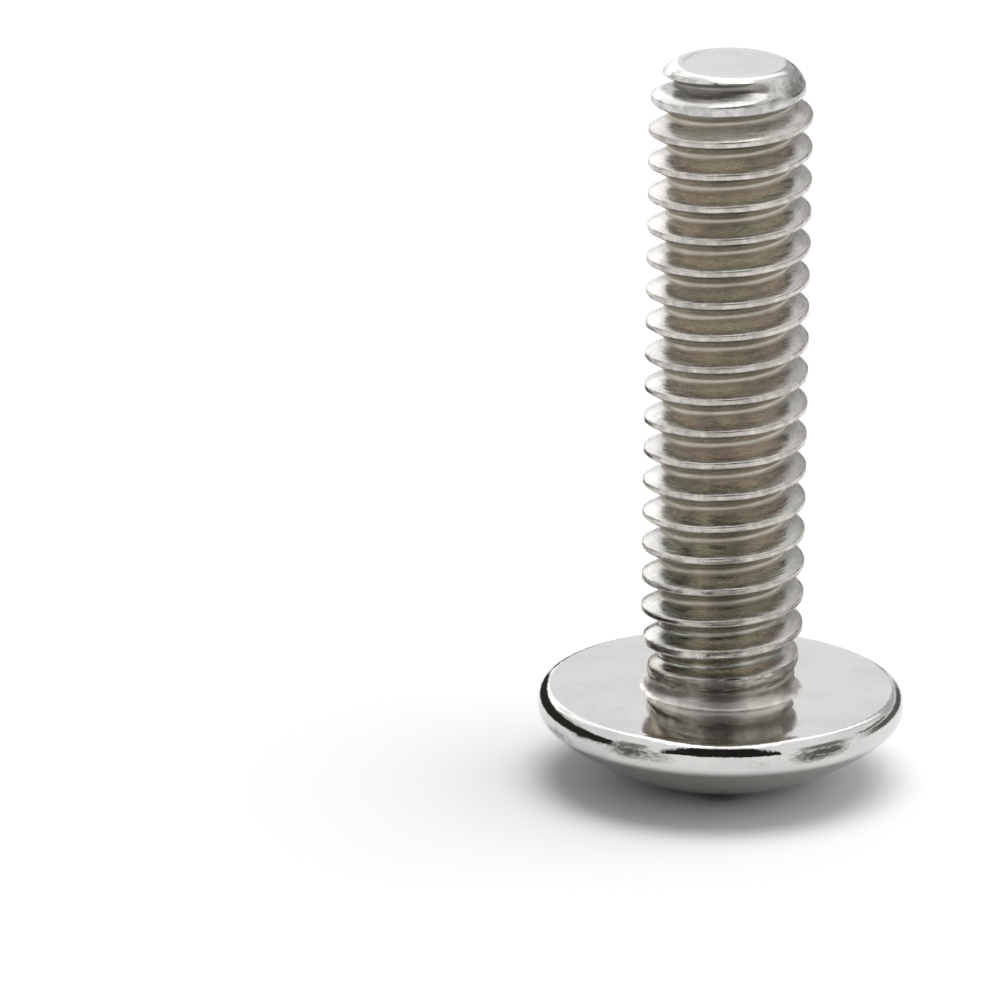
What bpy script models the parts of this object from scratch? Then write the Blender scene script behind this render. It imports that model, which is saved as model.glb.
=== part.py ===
# Truss head machine screw with a cross recess, a cold-headed blank with a rolled right-hand thread.
# It stands on its head: +Z runs from the head to the tip, and Z = 0 is the plane under the recess rim.
# Sizes are in metres, angles in degrees.

import math

import bmesh
import bpy

# Shank
LENGTH = 0.02493                 # bearing face to tip, a one inch screw
TIP_FLAT_DIAMETER = 0.00391
TIP_ROUND_LENGTH = 0.0025        # tip down to where the rounding leaves the crests
LIP_DEPTH = 0.0003               # whole ring of the blank that is left above the first groove

# Thread
THREAD_DIAMETER = 0.00624        # over the crests
ROOT_DIAMETER = 0.00478          # in the bottom of the groove
THREAD_PITCH = 0.00127           # twenty to the inch
FLANK_ANGLE = 30.0               # each flank against a plane across the axis
CREST_WIDTH = 0.0002
FIRST_CREST_DEPTH = 0.00202      # tip down to the middle of the first full crest at +X
RUN_OUT_LENGTH = 0.002           # over which the crests fade towards the neck

# Neck under the head
NECK_DIAMETER = 0.00564
NECK_LENGTH = 0.0008             # bearing face to the end of the plain blank
NECK_TAPER_LENGTH = 0.0009       # over which the groove bottoms rise to the blank
FILLET_RADIUS = 0.0003

# Head
HEAD_DIAMETER = 0.01404
HEAD_HEIGHT = 0.0038             # bearing face to the crown, before the recess is punched
BEARING_EDGE_RADIUS = 0.0005
RIM_BAND = 0.00025               # straight band round the rim
CROWN_EDGE_RADIUS = 0.0007       # between the band and the dome

# Cross recess
RECESS_DIAMETER = 0.00654        # across the wings at the dome
WING_WIDTH = 0.00102             # at the wing's outer end
LOBE_GAP = 0.00356               # between opposite lobes of metal
LOBE_RADIUS = 0.00185
LOBE_SWEEP = 82.6
LOBE_DRAFT = 7.0
WING_DRAFT = 4.3
WING_TAPER = 26.5                # outer ends of the wings against the axis
RECESS_FLOOR_DIAMETER = 0.00381  # where the wings end on the floor cone
RECESS_FLOOR_ANGLE = 28.0
RECESS_POINT_DIAMETER = 0.0014   # blunt end of the floor cone

# Overlap between shapes that are joined, so that no two faces coincide
OVERLAP = 0.0001

# Facets
ROUND_STEPS = 64
THREAD_STEPS = 32
DOME_STEPS = 12
EDGE_STEPS = 4
TIP_STEPS = 8
LOBE_STEPS = 8
SMOOTH_ANGLE = 35.0
WELD_DISTANCE = 0.000001

# Half sizes and levels that several shapes share
tip_flat_radius = TIP_FLAT_DIAMETER / 2
thread_radius = THREAD_DIAMETER / 2
root_radius = ROOT_DIAMETER / 2
neck_radius = NECK_DIAMETER / 2
head_radius = HEAD_DIAMETER / 2
recess_radius = RECESS_DIAMETER / 2
clear_radius = thread_radius + OVERLAP / 2

# The crown edge's arc sits on the rim, and the dome is the sphere that touches it from outside
crown_edge_centre_radius = head_radius - CROWN_EDGE_RADIUS
crown_edge_centre_depth = BEARING_EDGE_RADIUS + RIM_BAND
crown_edge_centre_height = HEAD_HEIGHT - crown_edge_centre_depth
dome_radius = (
    crown_edge_centre_radius ** 2 + crown_edge_centre_height ** 2 - CROWN_EDGE_RADIUS ** 2
) / (2 * (crown_edge_centre_height - CROWN_EDGE_RADIUS))
dome_angle = math.degrees(math.atan2(crown_edge_centre_radius, dome_radius - crown_edge_centre_height))


def dome_rise(radius):
    """Height of the dome's surface over its lowest point."""
    return dome_radius - math.sqrt(dome_radius ** 2 - radius ** 2)


def tangent(angle):
    return math.tan(math.radians(angle))


# The lobes' inner points are the lowest metal, so the screw stands on them
bearing_z = HEAD_HEIGHT - dome_rise(LOBE_GAP / 2)
crown_z = bearing_z - HEAD_HEIGHT
tip_z = bearing_z + LENGTH
neck_top_z = bearing_z + NECK_LENGTH


def clear_scene():
    for scene_object in list(bpy.data.objects):
        bpy.data.objects.remove(scene_object, do_unlink=True)


def new_collection(name):
    collection = bpy.data.collections.new(name)
    bpy.context.scene.collection.children.link(collection)
    return collection


def steel_material():
    material = bpy.data.materials.new("stainless_steel")
    material.use_nodes = True
    shader = material.node_tree.nodes["Principled BSDF"]
    shader.inputs["Base Color"].default_value = (0.56, 0.54, 0.51, 1.0)
    shader.inputs["Roughness"].default_value = 0.28
    shader.inputs["Metallic"].default_value = 1.0
    return material


def add_object(name, mesh, collection):
    new_object = bpy.data.objects.new(name, mesh)
    collection.objects.link(new_object)
    return new_object


def hide_tool(tool):
    tool.hide_render = True
    tool.display_type = "WIRE"


def arc(centre_radius, centre_z, radius, start_angle, end_angle, steps):
    """Points of a profile along an arc, from one angle to the other, both included."""
    points = []
    for step in range(steps + 1):
        angle = math.radians(start_angle + (end_angle - start_angle) * step / steps)
        points.append((centre_radius + radius * math.cos(angle), centre_z + radius * math.sin(angle)))
    return points


def profile_mesh(name, profile):
    """An open line of (radius, z) points in the XZ plane."""
    mesh = bpy.data.meshes.new(name)
    edges = [(index, index + 1) for index in range(len(profile) - 1)]
    mesh.from_pydata([(radius, 0.0, z) for radius, z in profile], edges, [])
    return mesh


def turned(name, profile, steps, collection):
    """A profile that runs from the axis at the top to the axis at the bottom, turned about Z."""
    shape = add_object(name, profile_mesh(name, profile), collection)
    screw = shape.modifiers.new("turn", "SCREW")
    screw.axis = "Z"
    screw.steps = steps
    screw.render_steps = steps
    screw.use_merge_vertices = True
    screw.merge_threshold = WELD_DISTANCE
    return shape


def shade_by_angle(shape):
    """Keeps the edges over SMOOTH_ANGLE sharp in the combined shape, and shades the rest smooth."""
    group = bpy.data.node_groups.new("shade_by_angle", "GeometryNodeTree")
    group.interface.new_socket("Geometry", in_out="INPUT", socket_type="NodeSocketGeometry")
    group.interface.new_socket("Geometry", in_out="OUTPUT", socket_type="NodeSocketGeometry")
    start = group.nodes.new("NodeGroupInput")
    end = group.nodes.new("NodeGroupOutput")
    edge_angle = group.nodes.new("GeometryNodeInputMeshEdgeAngle")
    gentle = group.nodes.new("ShaderNodeMath")
    gentle.operation = "LESS_THAN"
    gentle.inputs[1].default_value = math.radians(SMOOTH_ANGLE)
    faces = group.nodes.new("GeometryNodeSetShadeSmooth")
    faces.domain = "FACE"
    edges = group.nodes.new("GeometryNodeSetShadeSmooth")
    edges.domain = "EDGE"
    links = group.links
    links.new(edge_angle.outputs["Unsigned Angle"], gentle.inputs[0])
    links.new(start.outputs["Geometry"], faces.inputs["Geometry"])
    links.new(faces.outputs["Geometry"], edges.inputs["Geometry"])
    links.new(gentle.outputs["Value"], edges.inputs["Shade Smooth"])
    links.new(edges.outputs["Geometry"], end.inputs["Geometry"])
    shading = shape.modifiers.new("shade_by_angle", "NODES")
    shading.node_group = group


def combine(target, operation, tool):
    boolean = target.modifiers.new(tool.name, "BOOLEAN")
    boolean.operation = operation
    boolean.solver = "EXACT"
    boolean.object = tool


def thread_profile(crest_z):
    """One pitch of the thread, top to bottom: flank, crest, flank and the flat of the groove."""
    flank_length = (thread_radius - root_radius) * tangent(FLANK_ANGLE)
    upper_root_z = crest_z + CREST_WIDTH / 2 + flank_length
    return [
        (root_radius, upper_root_z),
        (thread_radius, crest_z + CREST_WIDTH / 2),
        (thread_radius, crest_z - CREST_WIDTH / 2),
        (root_radius, crest_z - CREST_WIDTH / 2 - flank_length),
        (root_radius, upper_root_z - THREAD_PITCH),
    ]


def close_end(mesh_edit, edges):
    """Fans an open end of the thread in to the axis."""
    end_verts = {vert for edge in edges for vert in edge.verts}
    middle_z = sum(vert.co.z for vert in end_verts) / len(end_verts)
    extruded = bmesh.ops.extrude_edge_only(mesh_edit, edges=edges)["geom"]
    inner = [item for item in extruded if isinstance(item, bmesh.types.BMVert)]
    bmesh.ops.pointmerge(mesh_edit, verts=inner, merge_co=(0.0, 0.0, middle_z))


def thread_mesh(name, collection):
    """The threaded rod, longer than the shank by over a turn at each end."""
    first_crest_z = tip_z - FIRST_CREST_DEPTH
    turns_below = math.ceil((first_crest_z - bearing_z) / THREAD_PITCH) + 1
    turns_above = math.ceil(FIRST_CREST_DEPTH / THREAD_PITCH) + 2
    profile = thread_profile(first_crest_z - turns_below * THREAD_PITCH)
    line = add_object(name + "_profile", profile_mesh(name, profile), collection)
    screw = line.modifiers.new("thread", "SCREW")
    screw.axis = "Z"
    screw.screw_offset = THREAD_PITCH
    screw.iterations = turns_below + turns_above
    screw.steps = THREAD_STEPS
    screw.render_steps = THREAD_STEPS
    depsgraph = bpy.context.evaluated_depsgraph_get()
    mesh = bpy.data.meshes.new_from_object(line.evaluated_get(depsgraph))
    mesh.name = name
    bpy.data.objects.remove(line, do_unlink=True)

    mesh_edit = bmesh.new()
    mesh_edit.from_mesh(mesh)
    bmesh.ops.remove_doubles(mesh_edit, verts=mesh_edit.verts, dist=WELD_DISTANCE)
    middle_z = (bearing_z + tip_z) / 2
    open_edges = [edge for edge in mesh_edit.edges if edge.is_boundary]
    lower_edges = [edge for edge in open_edges if edge.verts[0].co.z < middle_z]
    upper_edges = [edge for edge in open_edges if edge.verts[0].co.z > middle_z]
    close_end(mesh_edit, lower_edges)
    close_end(mesh_edit, upper_edges)
    bmesh.ops.recalc_face_normals(mesh_edit, faces=mesh_edit.faces)
    mesh_edit.to_mesh(mesh)
    mesh_edit.free()
    return mesh


def tip_point(angle):
    """The rounded tip is a quarter of an ellipse, from its flat face to the clear radius."""
    radius = tip_flat_radius + (clear_radius - tip_flat_radius) * math.sin(math.radians(angle))
    return radius, tip_z - TIP_ROUND_LENGTH * (1 - math.cos(math.radians(angle)))


def shank_outline():
    """The rounded tip, the clear run past the crests, and the cone that fades them at the neck."""
    run_out_z = bearing_z + NECK_LENGTH / 2
    profile = [(0.0, tip_z)]
    profile += [tip_point(90 * step / TIP_STEPS) for step in range(TIP_STEPS + 1)]
    profile.append((clear_radius, run_out_z + RUN_OUT_LENGTH))
    profile.append((neck_radius - OVERLAP, run_out_z))
    profile.append((0.0, run_out_z))
    return profile


def lip_outline():
    """The end of the blank that the thread did not reach, with a flank on its lower side."""
    inner_radius = root_radius - OVERLAP
    outer_radius = clear_radius + OVERLAP
    lip_radius, lip_z = tip_point(math.degrees(math.acos(1 - LIP_DEPTH / TIP_ROUND_LENGTH)))
    top_z = tip_z + THREAD_PITCH
    bottom_z = lip_z - (lip_radius - inner_radius) * tangent(FLANK_ANGLE)
    return [
        (0.0, top_z),
        (outer_radius, top_z),
        (outer_radius, lip_z + (outer_radius - lip_radius) * tangent(FLANK_ANGLE)),
        (inner_radius, bottom_z),
        (0.0, bottom_z),
    ]


def head_outline():
    """Core, neck, fillet, bearing face, rim and dome."""
    core_top_z = neck_top_z + NECK_TAPER_LENGTH
    fillet_radius = neck_radius + FILLET_RADIUS
    fillet_z = bearing_z + FILLET_RADIUS
    bearing_radius = head_radius - BEARING_EDGE_RADIUS
    band_top_z = bearing_z - BEARING_EDGE_RADIUS
    band_bottom_z = band_top_z - RIM_BAND
    dome_centre_z = crown_z + dome_radius
    dome_start = dome_angle - 90
    profile = [
        (0.0, core_top_z),
        (root_radius - OVERLAP, core_top_z),
        (neck_radius, neck_top_z),
    ]
    profile += arc(fillet_radius, fillet_z, FILLET_RADIUS, 180, 270, EDGE_STEPS)
    profile += arc(bearing_radius, band_top_z, BEARING_EDGE_RADIUS, 90, 0, EDGE_STEPS)
    profile += arc(crown_edge_centre_radius, band_bottom_z, CROWN_EDGE_RADIUS, 0, dome_start, EDGE_STEPS)
    profile += arc(0.0, dome_centre_z, dome_radius, dome_start, -90, DOME_STEPS)[1:-1]
    profile.append((0.0, crown_z))
    return profile


def recess_section(depth, reach):
    """The cross at a depth under the lobes' rim, four wings between four round lobes."""
    lobe_radius = LOBE_RADIUS + depth * tangent(LOBE_DRAFT)
    lobe_centre = (LOBE_GAP / 2 + LOBE_RADIUS) / math.sqrt(2)
    wing_half_width = WING_WIDTH / 2 - depth * tangent(WING_DRAFT)
    start_angle = 225 + LOBE_SWEEP / 2
    end_angle = 225 - LOBE_SWEEP / 2
    lobe = arc(lobe_centre, lobe_centre, lobe_radius, start_angle, end_angle, LOBE_STEPS)
    start_x, start_y = lobe[0]
    slope = (start_y - wing_half_width) / (recess_radius - start_x)
    end_y = start_y - slope * (reach - start_x)
    quarter = [(reach, end_y)] + lobe + [(end_y, reach)]
    points = []
    for turn in range(4):
        cosine = round(math.cos(turn * math.pi / 2))
        sine = round(math.sin(turn * math.pi / 2))
        points += [(x * cosine - y * sine, x * sine + y * cosine) for x, y in quarter]
    return points


def punch_outline(start_z):
    """The cone that the wings' outer ends follow, and the blunt cone of the recess floor."""
    rim_z = crown_z + dome_rise(recess_radius)
    floor_radius = RECESS_FLOOR_DIAMETER / 2
    point_radius = RECESS_POINT_DIAMETER / 2
    floor_z = rim_z + (recess_radius - floor_radius) / tangent(WING_TAPER)
    point_z = floor_z + (floor_radius - point_radius) * tangent(RECESS_FLOOR_ANGLE)
    return [
        (0.0, point_z),
        (point_radius, point_z),
        (floor_radius, floor_z),
        (recess_radius + (rim_z - start_z) * tangent(WING_TAPER), start_z),
        (0.0, start_z),
    ]


def recess_punch(collection):
    """The cross lofted between two depths with its drafts, trimmed by the turned punch."""
    start_z = crown_z - OVERLAP
    punch = punch_outline(start_z)
    end_z = punch[0][1] + OVERLAP
    reach = punch[-2][0] + OVERLAP
    mesh_edit = bmesh.new()
    lower = [mesh_edit.verts.new((x, y, start_z)) for x, y in recess_section(start_z, reach)]
    upper = [mesh_edit.verts.new((x, y, end_z)) for x, y in recess_section(end_z, reach)]
    mesh_edit.faces.new(reversed(lower))
    mesh_edit.faces.new(upper)
    count = len(lower)
    for index in range(count):
        following = (index + 1) % count
        mesh_edit.faces.new((lower[index], lower[following], upper[following], upper[index]))
    mesh = bpy.data.meshes.new("recess_cross")
    mesh_edit.to_mesh(mesh)
    mesh_edit.free()
    cross = add_object("recess_cross", mesh, collection)
    combine(cross, "INTERSECT", turned("recess_punch", punch, ROUND_STEPS, collection))
    return cross


def build():
    clear_scene()
    parts = new_collection("truss_head_screw")
    tools = new_collection("screw_tools")
    screw = add_object("truss_head_screw", thread_mesh("truss_head_screw", tools), parts)
    combine(screw, "UNION", turned("tip_lip", lip_outline(), THREAD_STEPS, tools))
    combine(screw, "INTERSECT", turned("shank_outline", shank_outline(), THREAD_STEPS, tools))
    combine(screw, "UNION", turned("head_blank", head_outline(), ROUND_STEPS, tools))
    combine(screw, "DIFFERENCE", recess_punch(tools))
    screw.data.materials.append(steel_material())
    shade_by_angle(screw)
    for tool in tools.objects:
        hide_tool(tool)


build()
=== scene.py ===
import math

import bmesh
import bpy
from mathutils import Matrix, Vector, noise


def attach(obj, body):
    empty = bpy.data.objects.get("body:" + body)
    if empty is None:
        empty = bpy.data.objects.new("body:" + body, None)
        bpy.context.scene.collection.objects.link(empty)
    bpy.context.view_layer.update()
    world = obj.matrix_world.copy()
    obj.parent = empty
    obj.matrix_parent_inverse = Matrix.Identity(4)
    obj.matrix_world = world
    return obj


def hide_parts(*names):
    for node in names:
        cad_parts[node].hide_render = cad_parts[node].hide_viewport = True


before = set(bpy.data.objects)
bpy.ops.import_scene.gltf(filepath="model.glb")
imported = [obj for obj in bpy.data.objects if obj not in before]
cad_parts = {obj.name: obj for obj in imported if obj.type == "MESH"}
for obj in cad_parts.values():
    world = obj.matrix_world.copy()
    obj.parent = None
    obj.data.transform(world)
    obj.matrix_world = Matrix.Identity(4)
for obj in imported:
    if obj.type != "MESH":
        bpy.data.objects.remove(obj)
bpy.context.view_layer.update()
print("frame loaded:", sorted(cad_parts))

toMetres = 0.001  # the screw is modelled in millimetres

# Head, in millimetres. The dome touches the crown edge, and the recess is cut into it from below.
head = {
    "radius": 7.02,
    "height": 3.8,
    "bearingEdgeRadius": 0.5,
    "rimBand": 0.25,
    "crownEdgeRadius": 0.7,
    "columns": 192,
    "edgeSteps": 7,
    "domeSteps": 12,
    "openRadius": 4.6,      # where the even rings of the dome end and those round the recess begin
    "innerSteps": 13,
    "bearingRings": (3.6, 4.1, 4.7, 5.3, 5.9, 6.3),
}

# Worn patches on the rim. Each has its place round from the front and its half width in degrees,
# how far it lies below the bearing face in millimetres, and its strength.
rimWear = {
    "rimWidth": 0.6,
    "halfHeight": 0.24,
    "patches": (
        (-64, 11, 0.95, 0.55),
        (-31, 7, 0.58, 1.05),
        (-20, 6, 0.62, 0.45),
        (10, 9, 0.7, 0.25),
        (28, 6, 0.62, 0.95),
        (37, 6, 0.55, 0.95),
        (88, 12, 0.8, 0.4),
        (121, 7, 0.6, 0.7),
        (165, 13, 0.75, 0.6),
        (-152, 9, 0.6, 0.8),
        (-112, 12, 0.8, 0.5),
    ),
}

# Cross recess, in millimetres and degrees
recess = {
    "radius": 3.27,
    "wingWidth": 1.02,
    "lobeGap": 3.56,
    "lobeRadius": 1.85,
    "lobeSweep": 82.6,
    "lobeDraft": 7.0,
    "wingDraft": 4.3,
    "wingTaper": 26.5,
    "floorRadius": 1.905,
    "floorAngle": 28.0,
    "pointRadius": 0.7,
    "poleRings": (0.45, 0.2),
    "rimRounding": 0.15,
    "rimSegments": 5,
    "lobeSteps": 24,
    "wallSteps": 22,
    "floorSteps": 7,
    "endColumns": 5,        # columns from the middle of a wing's end to its corner
    "cornerPasses": 2,
    "halvings": 24,         # of the search for a wing's corner
    "rimGuess": 0.2,        # height from which a column's place on the dome is sought
    "rimPasses": 6,         # after which it lies on the dome
    "floorPasses": 8,       # the same on the cone of the floor
}

# Shank and thread, in millimetres and degrees
shank = {
    "length": 24.93,
    "crestRadius": 3.12,
    "rootRadius": 2.39,
    "pitch": 1.27,
    "flankAngle": 30.0,
    "crestWidth": 0.2,
    "firstCrestDepth": 2.02,
    "stepsPerTurn": 96,
    "rows": (0.0, 0.05, 0.085, 0.11, 0.145, 0.205, 0.275, 0.345, 0.41, 0.465, 0.51, 0.55, 0.59, 0.635),
    "crestRounding": 0.05,
    "rootRounding": 0.16,
    "clearRadius": 3.17,
    "runOutStart": 0.1,
    "runOutLength": 3.0,
    "neckRadius": 2.82,
    "neckLength": 0.62,
    "neckTaper": 0.5,
    "runOutSink": 0.06,     # how far under the neck's surface the crests start
    "neckSink": 0.1,        # how far under the groove bottoms the neck's cone ends
    "blendWidth": 0.06,     # softness of the joins between thread, blank and rounded tip
    "lipBlend": 0.3,        # the same at the tip's lip
    "lipDepth": 0.5,
    "lipReach": 1.6,        # lip depths over which that softness fades
    "filletRadius": 0.3,
    "filletHeight": 0.48,
    "filletSteps": 8,
    "neckCut": 0.52,
    "neckFlatRadius": 3.32,
    "tipFlatRadius": 1.955,
    "tipRoundLength": 2.5,
    "tipCut": 0.2,
    "tipSteps": 6,
    "dishDepth": 0.022,
    "dishRings": ((0.05, 0.0), (0.09, 0.1), (0.14, 0.45), (0.19, 0.8), (0.25, 0.97), (0.34, 1.0), (0.8, 1.0),
                  (1.2, 1.0), (1.6, 1.0)),     # in from the edge of the flat, and share of the dish's depth
    "crestWobble": 0.016,
    "wobbleNoise": (1.7, 4.3, 0.5),     # coarse scale, fine scale, share of the fine
    "wobbleMiddle": 0.6,
    "raggedRunOut": 0.05,
    "raggedNoise": (2.9, 8.1, 0.7),
}

# The groove between the tip's lip and the first full turn: turns from +X backwards, and depths under the tip
firstGroove = {
    "turns": (0.09, 0.25, 0.33, 0.5, 0.75, 1.0),
    "starts": (0.13, 0.29, 0.39, 0.66, 0.94, 1.2715),
    "ends": (0.37, 0.56, 0.65, 0.88, 1.18, 1.4985),
    "flatHalf": 0.1135,
    "fadeTurns": 0.12,
    "deepening": 0.2,
    "deepTurns": 0.9,       # where the deeper part has ended
    "deepFade": 3.0,        # how fast it ends
    "deepReach": 0.7,       # depth under the crests at which it is whole
    "shallowTurns": 0.22,
    "lipTurns": (0.6, 0.4),     # where the lip starts to trim it, and over how many turns
}

# Distances in millimetres under which two points become one, and a point counts as on a cut
weld = {"shank": 0.002, "head": 0.0005, "cut": 0.0001}
sharpAngle = 38  # degrees from which an edge is drawn sharp


def tangent(angle):
    return math.tan(math.radians(angle))


def softMin(first, second, width):
    gap = max(width - abs(first - second), 0.0) / width
    return min(first, second) - gap * gap * width / 4


def softMax(first, second, width):
    return -softMin(-first, -second, width)


edgeCentreRadius = head["radius"] - head["crownEdgeRadius"]
edgeCentreHeight = head["height"] - head["bearingEdgeRadius"] - head["rimBand"]
domeRadius = (edgeCentreRadius ** 2 + edgeCentreHeight ** 2 - head["crownEdgeRadius"] ** 2) / (
    2 * (edgeCentreHeight - head["crownEdgeRadius"])
)
domeAngle = math.degrees(math.atan2(edgeCentreRadius, domeRadius - edgeCentreHeight))


def domeRise(radius):
    return domeRadius - math.sqrt(domeRadius ** 2 - radius ** 2)


bearingZ = head["height"] - domeRise(recess["lobeGap"] / 2)
crownZ = bearingZ - head["height"]
tipZ = bearingZ + shank["length"]


def arc(centreRadius, centreZ, radius, startAngle, endAngle, steps):
    points = []
    for step in range(steps + 1):
        angle = math.radians(startAngle + (endAngle - startAngle) * step / steps)
        points.append((centreRadius + radius * math.cos(angle), centreZ + radius * math.sin(angle)))
    return points


def lineOf(bm, points):
    verts = [bm.verts.new((radius, 0.0, z)) for radius, z in points]
    return verts + [bm.edges.new(pair) for pair in zip(verts, verts[1:])]


def extrudeLoop(bm, edges):
    made = bmesh.ops.extrude_edge_only(bm, edges=edges)["geom"]
    verts = [item for item in made if isinstance(item, bmesh.types.BMVert)]
    ring = set(verts)
    return verts, [item for item in made if isinstance(item, bmesh.types.BMEdge) and set(item.verts) <= ring]


def ringTo(bm, edges, radius, z):
    # extrudes a level round loop to another radius and height
    verts, edges = extrudeLoop(bm, edges)
    for vert in verts:
        reach = math.hypot(vert.co.x, vert.co.y)
        vert.co = (vert.co.x * radius / reach, vert.co.y * radius / reach, z)
    return edges


def closePole(bm, edges, z):
    verts, edges = extrudeLoop(bm, edges)
    bmesh.ops.pointmerge(bm, verts=verts, merge_co=(0.0, 0.0, z))


# Thread: one pitch of the profile, spun up the shank
def threadRadius(offset):
    flank = shank["crestRadius"] - (abs(offset) - shank["crestWidth"] / 2) / tangent(shank["flankAngle"])
    crest = softMin(flank, shank["crestRadius"], shank["crestRounding"])
    return softMax(crest, shank["rootRadius"], shank["rootRounding"])


def tipPoint(angle):
    rise = math.sin(math.radians(angle))
    radius = shank["tipFlatRadius"] + (shank["clearRadius"] - shank["tipFlatRadius"]) * rise
    return radius, tipZ - shank["tipRoundLength"] * (1 - math.cos(math.radians(angle)))


def clearRadiusAt(z, ragged):
    # the rounded tip, the straight run, and the cone that fades the crests at the neck
    depth = (tipZ - z) / shank["tipRoundLength"]
    radius = shank["clearRadius"]
    if depth < 1.0:
        radius = tipPoint(math.degrees(math.acos(min(max(1 - depth, 0.0), 1.0))))[0]
    runOut = (z - bearingZ - shank["runOutStart"]) / shank["runOutLength"]
    if runOut < 1.0:
        startRadius = shank["neckRadius"] - shank["runOutSink"]
        radius = startRadius + (shank["clearRadius"] - startRadius) * runOut + ragged * (1.0 - runOut)
    return radius


def neckRadiusAt(z):
    # the plain blank under the head, and the cone down to the groove bottoms
    taper = (z - bearingZ - shank["neckLength"]) / shank["neckTaper"]
    fall = shank["neckRadius"] - shank["rootRadius"] + shank["neckSink"]
    return shank["neckRadius"] - max(taper, 0.0) * fall


def between(value, places, heights):
    # straight lines through a few measured places
    for index in range(len(places) - 1):
        if value <= places[index + 1] or index == len(places) - 2:
            share = (value - places[index]) / (places[index + 1] - places[index])
            return heights[index] + (heights[index + 1] - heights[index]) * share


def smoothStep(share):
    share = min(max(share, 0.0), 1.0)
    return share * share * (3 - 2 * share)


def threadAt(angle, z):
    # radius of the thread at an angle and height, and the height of the crest that the point belongs to;
    # near the tip the first groove runs up under the lip
    pitch = shank["pitch"]
    turn = (-angle / (2 * math.pi)) % 1.0
    depth = tipZ - z
    crestDepth = shank["firstCrestDepth"] - pitch + pitch * turn
    if depth > crestDepth:
        offset = (depth - crestDepth + pitch / 2) % pitch - pitch / 2
        return threadRadius(offset), z + offset
    if turn < firstGroove["turns"][0]:
        return shank["clearRadius"], z
    start = between(turn, firstGroove["turns"], firstGroove["starts"])
    end = between(turn, firstGroove["turns"], firstGroove["ends"])
    flankEnd = pitch / 2 - firstGroove["flatHalf"]
    if depth < start:
        offset = flankEnd - (start - depth)
    elif depth < end:
        offset = flankEnd + 2 * firstGroove["flatHalf"] * (depth - start) / (end - start)
    else:
        crestEdge = crestDepth - shank["crestWidth"] / 2
        share = min((depth - end) / (crestEdge - end), 1.0)
        offset = flankEnd - share * (flankEnd - shank["crestWidth"] / 2)
    radius = threadRadius(max(min(offset, pitch - offset), 0.0))
    fullness = 1 - smoothStep((turn - firstGroove["turns"][0]) / firstGroove["fadeTurns"])
    before = firstGroove["deepTurns"] - turn
    deepening = firstGroove["deepening"] * smoothStep(before * firstGroove["deepFade"])
    deepening *= smoothStep((turn - firstGroove["turns"][0]) / firstGroove["shallowTurns"])
    radius -= deepening * smoothStep((shank["crestRadius"] - radius) / firstGroove["deepReach"])
    crestShare = smoothStep((depth - end) / (crestDepth - end)) * (1 - fullness)
    lipStart, lipSpan = firstGroove["lipTurns"]
    lipShare = smoothStep((turn - lipStart) / lipSpan)
    overLip = max(depth - crestDepth + pitch, 0.0) * lipShare * (1 - crestShare)
    crestZ = z + (depth - crestDepth) * crestShare + overLip
    return radius + (shank["clearRadius"] - radius) * fullness, crestZ


def doubleNoise(point, coarse, fine, share):
    return noise.noise(point * coarse) + share * noise.noise(point * fine)


def trimShank(bm):
    # also keeps how far each point lies under the crests, for the finishes and the painted shade in the
    # grooves
    hollow = bm.verts.layers.float["hollow"]
    for vert in bm.verts:
        reach = vert.co.xy.length
        thread, crestZ = threadAt(math.atan2(vert.co.y, vert.co.x), vert.co.z)
        lipShare = smoothStep(shank["lipReach"] - (tipZ - vert.co.z) / shank["lipDepth"])
        width = shank["blendWidth"] + (shank["lipBlend"] - shank["blendWidth"]) * lipShare
        crest = max(thread - shank["rootRadius"], 0.0) / (shank["crestRadius"] - shank["rootRadius"])
        wobble = doubleNoise(vert.co, *shank["wobbleNoise"]) - shank["wobbleMiddle"]
        ragged = shank["raggedRunOut"] * doubleNoise(vert.co, *shank["raggedNoise"])
        thread += shank["crestWobble"] * wobble * crest ** 2
        clear = clearRadiusAt(crestZ, ragged)
        radius = softMin(thread, clear, width)
        radius = softMax(radius, neckRadiusAt(vert.co.z), width)
        outer = min(clear, shank["crestRadius"])
        vert[hollow] = min(max((outer - radius) / (shank["crestRadius"] - shank["rootRadius"]), 0.0), 1.0)
        vert.co.x *= radius / reach
        vert.co.y *= radius / reach


def boundaryAt(bm, z, tolerance=0.001):
    rims = [edge for edge in bm.edges if edge.is_boundary]
    return [edge for edge in rims if all(abs(vert.co.z - z) < tolerance for vert in edge.verts)]


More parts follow.
